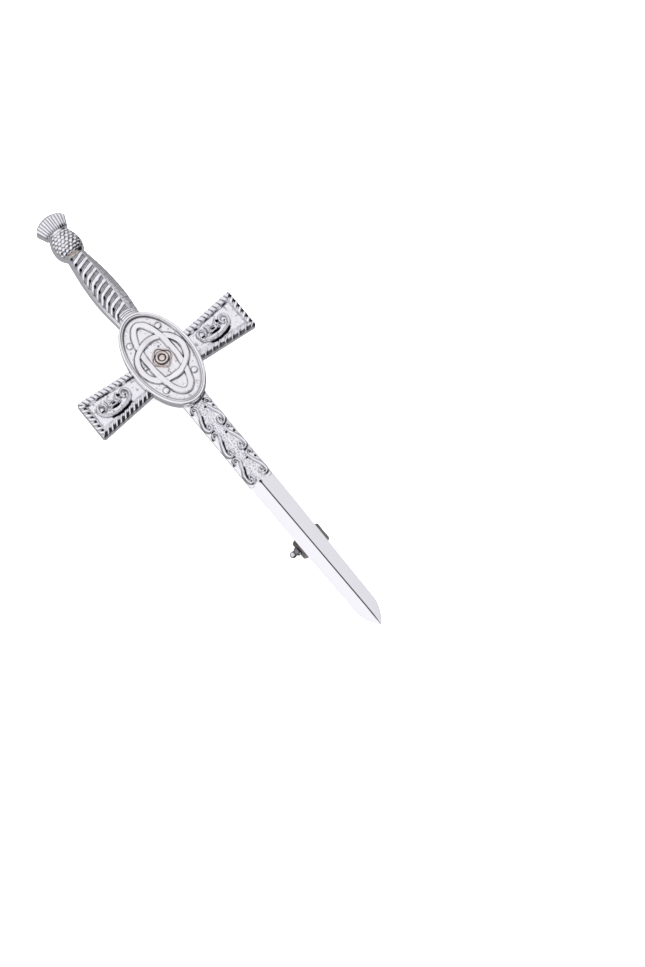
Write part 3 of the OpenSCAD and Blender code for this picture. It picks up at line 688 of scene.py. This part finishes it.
def medallion():
    """The oval medallion: a stepped round rim, and a knot of two woven ovals on a satin field."""
    count = 420
    angles = np.linspace(0, 2 * math.pi, count, endpoint=False)
    a, b = OVAL_A - RIM_W, OVAL_B - RIM_W
    field_z = MEDAL_T - 0.5
    rings = []
    for share in np.linspace(0, 1, 118)[1:]:
        rings.append((share * a, share * b, field_z, True))
    # Distance in from the edge, and height over the seat
    rim = [
        (0.86, field_z + 0.1), (0.8, 1.32), (0.74, 1.4), (0.66, 1.41), (0.6, 1.36), (0.56, 1.33),
        (0.53, 1.36), (0.48, 1.43), (0.4, 1.48), (0.3, 1.5), (0.2, 1.48), (0.11, 1.42),
        (0.04, 1.32), (0, 1.2), (0, 0.6), (0, 0.08), (0.06, 0.0),
    ]
    for inward, height in rim:
        rings.append((OVAL_A - inward, OVAL_B - inward, height, False))
    ra, rb, rz, on_field = (np.array(column) for column in zip(*rings))
    x = ra[:, None] * np.cos(angles)
    y = rb[:, None] * np.sin(angles)
    z = np.repeat(rz[:, None], count, axis=1)
    stipple = 0.035 * grains(x, y, 0.27, 3) + 0.03 * uneven(x, y, 0.8, 50)
    z = z + np.where(on_field[:, None], stipple, 0)
    specks = uneven(x + 0.4 * y, y, 0.21, 51) + 0.7 * uneven(x, y - 0.3 * x, 0.5, 57)
    worn = smooth(specks, 0.4, 1.1) * (0.35 + 0.55 * smooth(uneven(x, y, 2.2, 52), -0.1, 0.5))
    dark = np.where(on_field[:, None], worn, 0)
    wx, wy = (p + 0.08 * uneven(x, y, 1.2, seed) for p, seed in ((x, 53), (y, 54)))
    weave = np.sin(2 * np.arctan2(y / b, x / a))
    for sa, sb, sign in ((0.5, 0.82, 1), (0.86, 0.44, -1)):
        ea, eb = sa * a, sb * b
        f = np.hypot(wx / ea, wy / eb) + 1e-9
        slope = np.hypot(wx / ea**2, wy / eb**2) / f + 1e-9
        far = np.abs(f - 1) / slope
        band_h = 0.42 + 0.16 * sign * weave
        band = raised(z, far, 0.68, field_z, band_h + 0.06, flat=True)
        z = np.where(on_field[:, None], band, z)
        dark = np.where(far < 0.5, dark * (z < field_z + 0.2), dark)
        # Painted shade along the bands' feet
        line = (0.72 + 0.28 * uneven(x, y, 0.8, 55)) * beside(far, 0.66, 0.19)
        dark = np.where((far > 0.5) & (z < field_z + 0.3), np.maximum(dark, line), dark)
    # A round boss in a ring, in a frame with four soft corners, all under a warm film
    r = np.hypot(x, y)
    boss_r = 0.68
    frame_r = 1.95 + 0.22 * np.cos(4 * np.arctan2(y, x))
    z = np.where(r < frame_r, np.maximum(field_z + 0.38 * smooth(frame_r - r, 0, 0.14), 0), z)
    z = np.where(r < frame_r - 0.3, field_z + 0.12 + 0.04 * grains(x, y, 0.3, 8), z)
    z = np.where(r < 1.3, field_z + 0.12 + 0.5 * dome((r - 1.0) / 0.3), z)
    z = np.where(r < boss_r, field_z + 0.16 + 0.4 * dome(r / boss_r), z)
    z = np.where(r < frame_r - 0.3, z + 0.05 * uneven(x, y, 0.45, 56), z)
    film = 0.75 * smooth(2.2 - r, 0, 0.4) * (0.55 + 0.45 * grains(x, y, 0.5, 4))
    # Painted shade round the feet of the frame, the ring and the boss
    foot = np.maximum(beside(r, frame_r - 0.3, 0.14), beside(r, 1.31, 0.16))
    dark = np.where(r < 2.2, 0.8 * foot, dark)
    dark = np.maximum(dark, beside(r, boss_r, 0.14))
    for sx in (-1, 1):
        for sy in (-1, 1):
            q = np.hypot(x - sx * 0.6 * a, y - sy * 0.58 * b) / 0.62
            z = np.where(q < 1, np.maximum(z, field_z + 0.36 * dome(q)), z)
            # Painted shade round each pellet's foot
            dark = np.maximum(dark, 0.6 * beside(q, 1.08, 0.22))
    # Painted shade at the foot of the rim, heavier towards +Y, and along the rim's inner step
    dark = np.maximum(dark, beside(a - ra, 0.06, 0.2)[:, None] * (0.5 + 0.45 * smooth(y, 2, 8)))
    dark = np.maximum(dark, 0.6 * beside(OVAL_A - ra, 0.58, 0.07)[:, None])
    wrapped = np.hstack([z[:, -8:], z, z[:, :8]])
    dark = unit(dark + 0.3 * recess_of(wrapped, 0.2, 10)[:, 8:-8])
    # The rim's crown and its outer wall get no painted shade, and stay bright
    dark[len(rings) - 9 :] = 0
    n = len(rings)
    points = np.stack([x, y + OVAL_Y, z + SEAT_Z], axis=-1).reshape(-1, 3)
    middle = [0, OVAL_Y, z[0].mean() + SEAT_Z]
    points = np.vstack([points, middle])
    faces = []
    for i in range(n - 1):
        p, q = i * count, (i + 1) * count
        faces += [[p + k, q + k, q + (k + 1) % count, p + (k + 1) % count] for k in range(count)]
    faces += [[n * count, k, (k + 1) % count] for k in range(count)]
    faces.append([*range((n - 1) * count, n * count)][::-1])
    make_piece(
        "medallion", points, faces, SATIN, node="medallion", recess=dark.ravel(), film=film.ravel(),
    )


def section(t, corners):
    """Cross-section of the hilt, smoothed: t runs from one side's foot over the top to the other's."""
    whole = corners + [(-p, q) for p, q in corners[-2::-1]]
    line = curve(whole, 24)
    lengths = np.concatenate([[0], np.cumsum(np.hypot(*np.diff(line, axis=0).T))])
    place = t * lengths[-1]
    return np.interp(place, lengths, line[:, 0]), np.interp(place, lengths, line[:, 1])


def along_rows(rows, share):
    """Widths and heights at each share of a length, from rows of [share, width, height]."""
    table = curve(rows)
    return np.interp(share, table[:, 0], table[:, 1]), np.interp(share, table[:, 0], table[:, 2])


def hilt_part(name, y, t, half_w, high, corners, relief, from_oval=False, back=0.0):
    """A stretch of the hilt: its cross-section at each place, moved outwards by its relief.
    Its near end follows the medallion's oval if it starts from there."""
    sx, sz = section(t, corners)
    x = half_w[:, None] * sx
    z = high[:, None] * sz
    yy = np.repeat(y[:, None], len(t), axis=1)
    dx, dz = np.gradient(x, axis=1), np.gradient(z, axis=1)
    length = np.hypot(dx, dz) + 1e-12
    nx, nz = dz / length, -dx / length
    lift, dark, film = relief(x, yy, z, nz)
    dark = unit(dark + 0.6 * recess_of(lift, 0.15, 10))
    x, z = x + nx * lift, np.maximum(z + nz * lift, 0.0)
    z[:, 0] = z[:, -1] = back
    if from_oval:
        begin = OVAL_Y + OVAL_B * np.sqrt(unit(1 - (x / OVAL_A) ** 2)) - 0.3
        yy = begin + (yy - yy[0]) * (yy[-1] - begin) / (yy[-1] - yy[0])
    sections = np.stack([x, yy, BACK_Z + z], axis=-1)
    shell(name, sections, RELIEF, dark, film)


# Outlines of the hilt's stretches: share of the length, of the half width and of the height
GRIP_ROWS = [
    (-0.08, 0.8, 0.78), (0.12, 0.9, 0.91), (0.27, 0.98, 0.98), (0.42, 1, 1), (0.62, 0.95, 0.97),
    (0.8, 0.83, 0.91), (1.02, 0.64, 0.8),
]
BULB_ROWS = [
    (-0.04, 0.6, 0.78), (0.12, 0.84, 0.88), (0.3, 0.98, 0.98), (0.5, 1, 1), (0.72, 0.93, 0.95),
    (0.92, 0.78, 0.88), (1.04, 0.68, 0.82),
]
CROWN_ROWS = [(-0.02, 0.69, 0.9), (0.4, 0.82, 0.97), (1, 1, 1)]
# Right half of each cross-section, from its foot to the top: shares of the half width and height
GRIP_SECTION = [(1, 0), (1, 0.3), (0.93, 0.52), (0.44, 0.95), (0, 1)]
BULB_SECTION = [(1, 0), (0.95, 0.36), (0.74, 0.71), (0.4, 0.93), (0, 1)]
CROWN_SECTION = [(1, 0), (1, 0.55), (0.93, 0.84), (0.55, 0.97), (0, 1)]


def grip():
    """The wire-wound grip: one thick and two thin turns in each pitch, steeper down its left side.
    The right side is worn smooth."""
    length, pitch, half_w, high = BULB_Y - GRIP_Y, 1.42, 2.9, 3.0
    # How far left the winding turns steeper, and how far right the worn side begins
    kink, worn_x = 1.2, 1.1
    collar_l, collar_pitch = 1.2, 0.4
    y = np.linspace(GRIP_Y - 0.3, BULB_Y + 0.2, 420)
    t = np.linspace(0, 1, 150)
    w, h = along_rows(GRIP_ROWS, (y - GRIP_Y) / length)

    def relief(x, yy, z, nz):
        lead = np.where(x > -kink, 0.34 * (x + kink), 0.84 * (x + kink))
        phase = ((yy - lead - GRIP_Y - 1.35 + 0.11 * uneven(x, yy, 0.75, 39)) / pitch) % 1
        thick = smooth(0.27 - np.abs(phase - 0.25), 0, 0.07)
        thin = np.maximum(dome((phase - 0.65) / 0.075), dome((phase - 0.86) / 0.075))
        top = smooth(w[:, None] * half_w + x, 0.5, 0.75) * (1 - smooth(x, 1.0, 1.12))
        begin = GRIP_Y + collar_l * smooth(x, -1.3, -1.2)
        wound = smooth(yy, begin, begin + 0.2) * smooth(BULB_Y - 0.1 - yy, 0, 0.3)
        turns = np.maximum(0.34 * thick, 0.14 * thin) + 0.05 * uneven(x, yy, 0.5, 32)
        ring = ((yy - GRIP_Y) / collar_pitch) % 1
        collar = (yy > GRIP_Y) & (yy < GRIP_Y + collar_l) & (x > -1.1) & (x < 1.2)
        lift = wound * turns * top + 0.18 * dome(2 * ring - 1) * collar
        worn = wound * smooth(x, 1.15, 1.3) * smooth(nz, 0.1, 0.5)
        rubbed = 0.04 * thick + 0.03 * grains(x, yy, 0.7, 31) + 0.03 * uneven(x, yy, 0.5, 33)
        lift = lift + worn * rubbed
        # A deep spot at each kink, between the thick turns, darkened with painted shadow
        spot = dome((x + kink) / 0.26) * dome((phase - 0.98) / 0.22)
        spot = spot + dome((x + kink) / 0.2) * dome(phase / 0.1)
        # Painted shade between the turns, in the spots, between the collar's rings and along the worn
        # side's edge; the worn side is a little darker too
        gap = (1 - thick) * (1 - 0.55 * thin)
        between = (0.5 + 0.25 * uneven(x, yy, 0.5, 38)) * gap
        dark = wound * top * np.maximum(between, unit(1.5 * spot)) + 0.2 * worn
        dark = np.maximum(dark, collar * (1 - dome(2 * ring - 1)) ** 1.5)
        dark = np.maximum(dark, 0.8 * beside(x, worn_x, 0.12) * wound * thick * smooth(nz, 0.5, 0.7))
        film = 0.5 * smooth(yy, BULB_Y - 0.8, BULB_Y) * smooth(nz, 0.5, 0.9)
        return lift - 0.1 * spot * wound, dark, film

    hilt_part("grip", y, t, w * half_w, h * high, GRIP_SECTION, relief, from_oval=True, back=BACK_STEP)


def bulb():
    """The thistle's bulb: small pointed scales in staggered rows, with a smooth border."""
    length, pitch = CROWN_Y - BULB_Y, 0.84
    y = np.linspace(BULB_Y - 0.15, CROWN_Y + 0.1, 120)
    t = np.linspace(0, 1, 150)
    w, h = along_rows(BULB_ROWS, (y - BULB_Y) / length)

    def relief(x, yy, z, nz):
        arc = np.arctan2(x, z + 0.4) * 3.1 + 0.1 * uneven(x, yy, 0.8, 34)
        yy = yy + 0.1 * uneven(x, yy, 0.8, 35)
        row = np.floor((yy - BULB_Y) / (pitch * 0.8))
        u = (arc / pitch + 0.5 * (row % 2)) % 1 - 0.5
        v = ((yy - BULB_Y) / (pitch * 0.8)) % 1 - 0.5
        scale = np.clip(1.12 - 1.3 * (np.abs(u) + np.abs(v)), 0, 0.8)
        inside = smooth(nz, 0.4, 0.62) * smooth(yy, BULB_Y + 0.3, BULB_Y + 0.7)
        inside = inside * smooth(CROWN_Y - 0.3 - yy, 0, 0.3)
        film = 0.8 * smooth(BULB_Y + 0.75 - yy, 0, 0.5) * smooth(nz, 0.5, 0.9)
        # Painted shade between the scales
        return 0.34 * scale * inside, 1.2 * unit(0.42 - scale) * inside, film

    hilt_part("thistle_bulb", y, t, w * 2.925, h * 3.1, BULB_SECTION, relief)


def crown():
    """The thistle's crown: ribs that spread from a narrow neck to a round, notched edge."""
    length, ribs, half, high = 3.6, 11, 3.4, 2.7
    share = np.linspace(-0.02, 1, 90)
    out = share[:, None]
    t = np.linspace(0, 1, 240)
    w, h = along_rows(CROWN_ROWS, share)
    sx, sz = section(t, CROWN_SECTION)
    x = half * w[:, None] * sx * (1 - 0.05 * smooth(out, 0.86, 1.0) ** 2)
    z = high * h[:, None] * sz
    dome_y = length * (0.32 * sx**2 + 0.06 * sx**12)
    y = CROWN_Y + out * (length - dome_y)
    x_cut = sx + 0.02 * uneven(x, y, 0.8, 36)
    phase = (x_cut * ribs * 0.5 + 0.5) % 1 - 0.5
    rib = dome(phase / (0.28 + 0.2 * out)) ** 0.8 * smooth(out, -0.02, 0.1)
    rib = rib * (1 - 0.85 * smooth(out, 0.84, 0.93))
    on_top = smooth(sz, 0.6, 0.82)
    lift = (0.22 * rib + 0.04 * uneven(x, y, 0.5, 37)) * on_top
    notch = smooth(out, 0.9, 1.0) * 0.12 * (0.5 + 0.5 * np.cos(2 * math.pi * phase)) * on_top
    # Painted shade across the crown's neck, heaviest towards +X, and between the ribs
    root = dome((out - 0.1) / 0.12) * (0.35 + 0.65 * dome((sx - 0.52) / 0.24)) * on_top
    gap = (1 - rib) * on_top * (1 - smooth(out, 0.8, 0.9))
    dark = unit(0.3 * recess_of(lift, 0.12, 8) + root * (1 - 0.7 * rib) + 0.24 * gap)
    z = z * (1 - 0.12 * smooth(out, 0.86, 1.0)) + lift - notch
    z[:, 0] = z[:, -1] = BACK_STEP
    sections = np.stack([x, y, BACK_Z + np.maximum(z, BACK_STEP)], axis=-1)
    shell("thistle_crown", sections, RELIEF, dark, np.zeros(dark.shape))


def band(r_in, r_out, low, high, soft, begin, sweep):
    """A part of a ring round the catch's axis, with rounded corners."""
    profile = [
        (r_in + soft, low), (r_out - soft, low), (r_out - 0.3 * soft, low + 0.3 * soft),
        (r_out, low + soft), (r_out, high - soft), (r_out - 0.3 * soft, high - 0.3 * soft),
        (r_out - soft, high), (r_in + soft, high), (r_in, high - soft), (r_in, low + soft),
    ]
    return turned(profile, (PIN_X, CATCH_Y, DRUM_Z), "y", 96, begin, sweep)


def catch():
    """The catch's housing: two C-shaped bands, joined over the rotor and soldered to the back."""
    bore, long, slot = 1.9, 3.4, 1.2
    # Half of the opening below, and half of the bridge over the rotor, in degrees
    open_half, bridge_half = 16, 78
    parts = []
    for y0, y1 in ((-long / 2, -slot / 2), (slot / 2, long / 2)):
        parts.append(band(bore, DRUM_R, y0, y1, 0.1, 180 + open_half, 360 - 2 * open_half))
    end = slot / 2 + 0.05
    parts.append(band(bore + 0.02, DRUM_R - 0.03, -end, end, 0.03, -bridge_half, 2 * bridge_half))
    make_piece("catch_housing", *joined(*parts), TARNISHED_SHADED)


def hinge():
    """The hinge's bracket: a base, two round ears and a small toe."""
    base_t, step, toe_w, toe_off = 0.6, 0.04, 1.1, 2.6
    wide = EAR_IN + EAR_T
    r = HINGE_Z
    arc = np.radians(np.linspace(180, 360, 40))
    outline = [(HINGE_Y + r * math.cos(a), HINGE_Z + r * math.sin(a)) for a in arc]
    outline += [(HINGE_Y + r, BACK_Z + 0.1), (HINGE_Y - r, BACK_Z + 0.1)]
    parts = []
    for s in (-1, 1):
        ear_x = PIN_X + s * (EAR_IN + EAR_T / 2)
        parts.append(slab(outline, ear_x - EAR_T / 2, ear_x + EAR_T / 2, 0.12, "x"))
    # The base, which shows as a fine step round the ears, and the toe
    toe_y = HINGE_Y - r - toe_off
    for left, right, low, high, soft in (
        (PIN_X - wide - step, PIN_X + wide + step, HINGE_Y - r - step, HINGE_Y + r + step, 0.08),
        (PIN_X, PIN_X + toe_w, toe_y - toe_w, toe_y, 0.1),
    ):
        corners = [(left, low), (right, low), (right, high), (left, high)]
        parts.append(slab(corners, BACK_Z - base_t, BACK_Z + 0.1, soft, "z"))
    make_piece("hinge_bracket", *joined(*parts), TARNISHED_SHADED)


def stud_head():
    """The medallion's stud, hammered over on the back: a rough round head."""
    radius = 1.5
    profile = [
        (0, -0.7), (0.5, -0.69), (0.85, -0.64), (1.15, -0.5), (1.36, -0.32), (1.47, -0.16),
        (radius, -0.08), (1.4, 0.03),
    ]
    points, faces = turned(profile, (0, STUD_Y, BACK_Z - 0.05), "z", 72)
    rough = np.random.default_rng(21).normal(size=(12, 12))
    angle = np.arctan2(points[:, 1] - STUD_Y, points[:, 0])
    outward = (points[:, 0] ** 2 + (points[:, 1] - STUD_Y) ** 2) ** 0.5 / radius
    for k in range(2, 7):
        wave = np.sin(k * angle + 3 * rough[k, 0]) * 0.035 * rough[k, 1]
        points[:, 2] += wave * outward * (radius - outward)
    # Its middle stays the lowest
    points[:, 2] = np.maximum(points[:, 2], BACK_Z - 0.75)
    make_piece("stud_head", points, faces, TARNISHED_SHADED, node="medallion")


def pin_stem():
    """The pin: a spring wire with an eye bent round the rivet, and a long sharp point."""
    bend, root_r, stem_r = 1.115, 1.15 / 2, 1.0 / 2
    angles = np.radians(np.linspace(-180, 90, 60))
    eye = [(PIN_X, HINGE_Y + bend * math.cos(a), HINGE_Z + bend * math.sin(a)) for a in angles]
    # The root tapers away from the hinge, and the point tapers in the catch
    stem = [
        (HINGE_Y - 1.2, 1.09 / 2), (HINGE_Y - 3.4, stem_r), (CATCH_Y + 6, stem_r),
        (CATCH_Y + 1.85, stem_r), (CATCH_Y + 0.6, 0.42), (CATCH_Y - 1.2, 0.28),
        (CATCH_Y - 2.4, 0.17), (CATCH_Y - 2.95, 0.12), (CATCH_Y - 3.0, 0.04),
    ]
    path = eye + [(PIN_X, y, DRUM_Z) for y, _ in stem]
    points, faces = tube(path, [root_r] * len(eye) + [r for _, r in stem], 36)
    make_piece("pin_stem", points, faces, STEEL, "pin", "pin_stem", crease=50)


def rotor():
    """The catch's rotor: a slit roller, its lever and the ball on the lever's end."""
    r, long, slit = 1.85, 3.2, 0.65
    half_gap = math.degrees(math.asin(slit / r))
    parts = [band(slit, r, -long / 2, long / 2, 0.08, 180 + half_gap, 360 - 2 * half_gap)]
    ball, reach = 0.68, 4.85
    lever = [
        (0.45, -1.6), (0.45, -3.12), (0.82, -3.14), (0.88, -3.2), (0.84, -3.3), (0.62, -3.6),
        (0.44, -3.84), (0.4, -3.95), (0.4, ball - reach),
    ]
    angles = np.radians(np.linspace(180, 0, 25))
    sphere = [(max(ball * math.sin(a), 0.0), -reach + ball + ball * math.cos(a)) for a in angles]
    for profile in (lever, sphere):
        parts.append(turned(profile, (PIN_X, CATCH_Y, DRUM_Z), "x", 40))
    points, faces = joined(*parts)
    # No buff reaches the lever's neck, between the housing and the ball, so it stays dull; its darker
    # colour is painted shade
    out = PIN_X - points[:, 0]
    neck = 0.65 * smooth(out, 2.9, 3.0) * (1 - smooth(out, 3.8, 4.0))
    make_piece("catch_rotor", points, faces, STEEL, "catch", "catch_rotor", recess=neck, crease=50)


def rivet():
    """The hinge's rivet, headed at both ends."""
    half, r = EAR_IN + EAR_T + 0.04, 0.5
    head = [(r, 0), (0.95, 0), (0.92, 0.1), (0.72, 0.34), (0.5, 0.43), (0, 0.45)]
    profile = [(p, -half - q) for p, q in head[::-1]] + [(p, half + q) for p, q in head]
    points, faces = turned(profile, (PIN_X, HINGE_Y, HINGE_Z), "x", 48)
    make_piece("hinge_rivet", points, faces, STEEL, node="hinge_rivet")


plain_blade()
ornate_blade()
arm(1)
arm(-1)
seat()
medallion()
grip()
bulb()
crown()
catch()
hinge()
stud_head()
pin_stem()
rotor()
rivet()


def floor():
    """A plain pale floor."""
    material = bpy.data.materials.new("floor_white")
    material.use_nodes = True
    paper = material.node_tree.nodes["Principled BSDF"]
    paper.inputs["Base Color"].default_value = linear("#F4F4F4")
    paper.inputs["Roughness"].default_value = 0.9
    bpy.ops.mesh.primitive_plane_add(size=4)
    ground = bpy.context.object
    ground.name = "floor"
    ground.data.materials.append(material)
    ground.visible_glossy = False


def studio():
    """A tent that is brightest on the left, with a grey ground and a dark gap low towards the point."""
    world = bpy.data.worlds.new("studio")
    bpy.context.scene.world = world
    world.use_nodes = True
    tree = world.node_tree
    tree.nodes.clear()
    way = add(tree, "ShaderNodeTexCoord").outputs["Generated"]
    parts = add(tree, "ShaderNodeSeparateXYZ", Vector=way).outputs
    right = soft_step(tree, parts["X"], -0.5, 0.8)
    tent = blend(tree, right, (1.01, 1.007, 1.025, 1), (0.81, 0.807, 0.826, 1))
    high = soft_step(tree, parts["Z"], -0.12, 0.36)
    light = blend(tree, high, (0.39, 0.388, 0.4, 1), tent)
    # The gap: its direction, its width, and how far it reaches up and down
    level = add(tree, "ShaderNodeVectorMath", {"operation": "MULTIPLY"}, _0=way, _1=(1, 1, 0))
    level = add(tree, "ShaderNodeVectorMath", {"operation": "NORMALIZE"}, _0=level.outputs[0])
    toward = math.radians(-68)
    facing = add(
        tree, "ShaderNodeVectorMath", {"operation": "DOT_PRODUCT"},
        _0=level.outputs[0], _1=(math.cos(toward), math.sin(toward), 0),
    ).outputs["Value"]
    gap = soft_step(tree, facing, math.cos(math.radians(62)), math.cos(math.radians(50)))
    for none, full in ((0.56, 0.48), (-0.62, -0.45)):
        limit = soft_step(tree, parts["Z"], none, full)
        gap = add(tree, "ShaderNodeMath", {"operation": "MULTIPLY"}, _0=gap, _1=limit).outputs[0]
    light = blend(tree, gap, light, linear("#303033"))
    lit = add(tree, "ShaderNodeBackground", Color=light, Strength=1.0)
    paper = add(tree, "ShaderNodeBackground", Color=(1, 1, 1, 1), Strength=1.0)
    seen = add(tree, "ShaderNodeLightPath").outputs["Is Camera Ray"]
    both = add(tree, "ShaderNodeMixShader", _0=seen, _1=lit.outputs[0], _2=paper.outputs[0])
    add(tree, "ShaderNodeOutputWorld", Surface=both.outputs[0])
    # This lamp whitens the floor and leaves no glint on the metal
    lamp = bpy.data.lights.new("floor_light", "SUN")
    lamp.energy = 9.0
    lamp.angle = math.radians(120)
    above = bpy.data.objects.new("floor_light", lamp)
    above.visible_glossy = False
    bpy.context.scene.collection.objects.link(above)


def camera():
    """A long lens at the photograph's angle: 16.5 degrees from straight above."""
    azimuth, elevation = math.radians(321.3), math.radians(73.5)
    level = math.cos(elevation)
    back = np.array([math.sin(azimuth) * level, -math.cos(azimuth) * level, math.sin(elevation)])
    # The photograph is 967 pixels high, with 5.462 of them to a millimetre
    lens, sensor, long_side, scale = 120.0, 36.0, 967.0, 5.462
    distance = lens / sensor * long_side / scale * MM
    data = bpy.data.cameras.new("camera")
    data.lens = lens
    data.sensor_width = sensor
    eye = bpy.data.objects.new("camera", data)
    bpy.context.scene.collection.objects.link(eye)
    # The middle of the picture, which lies beside the pin
    aim = np.array([8.34, -22.56, 6.2]) * MM
    eye.location = aim + back * distance
    right = np.array([math.cos(azimuth), math.sin(azimuth), 0])
    over = np.cross(back, right)
    turn = mathutils.Matrix(np.stack([right, over, back], axis=1).tolist())
    eye.rotation_mode = "QUATERNION"
    eye.rotation_quaternion = turn.to_quaternion()
    bpy.context.scene.camera = eye


bpy.context.scene.view_settings.view_transform = "Standard"
floor()
studio()
camera()
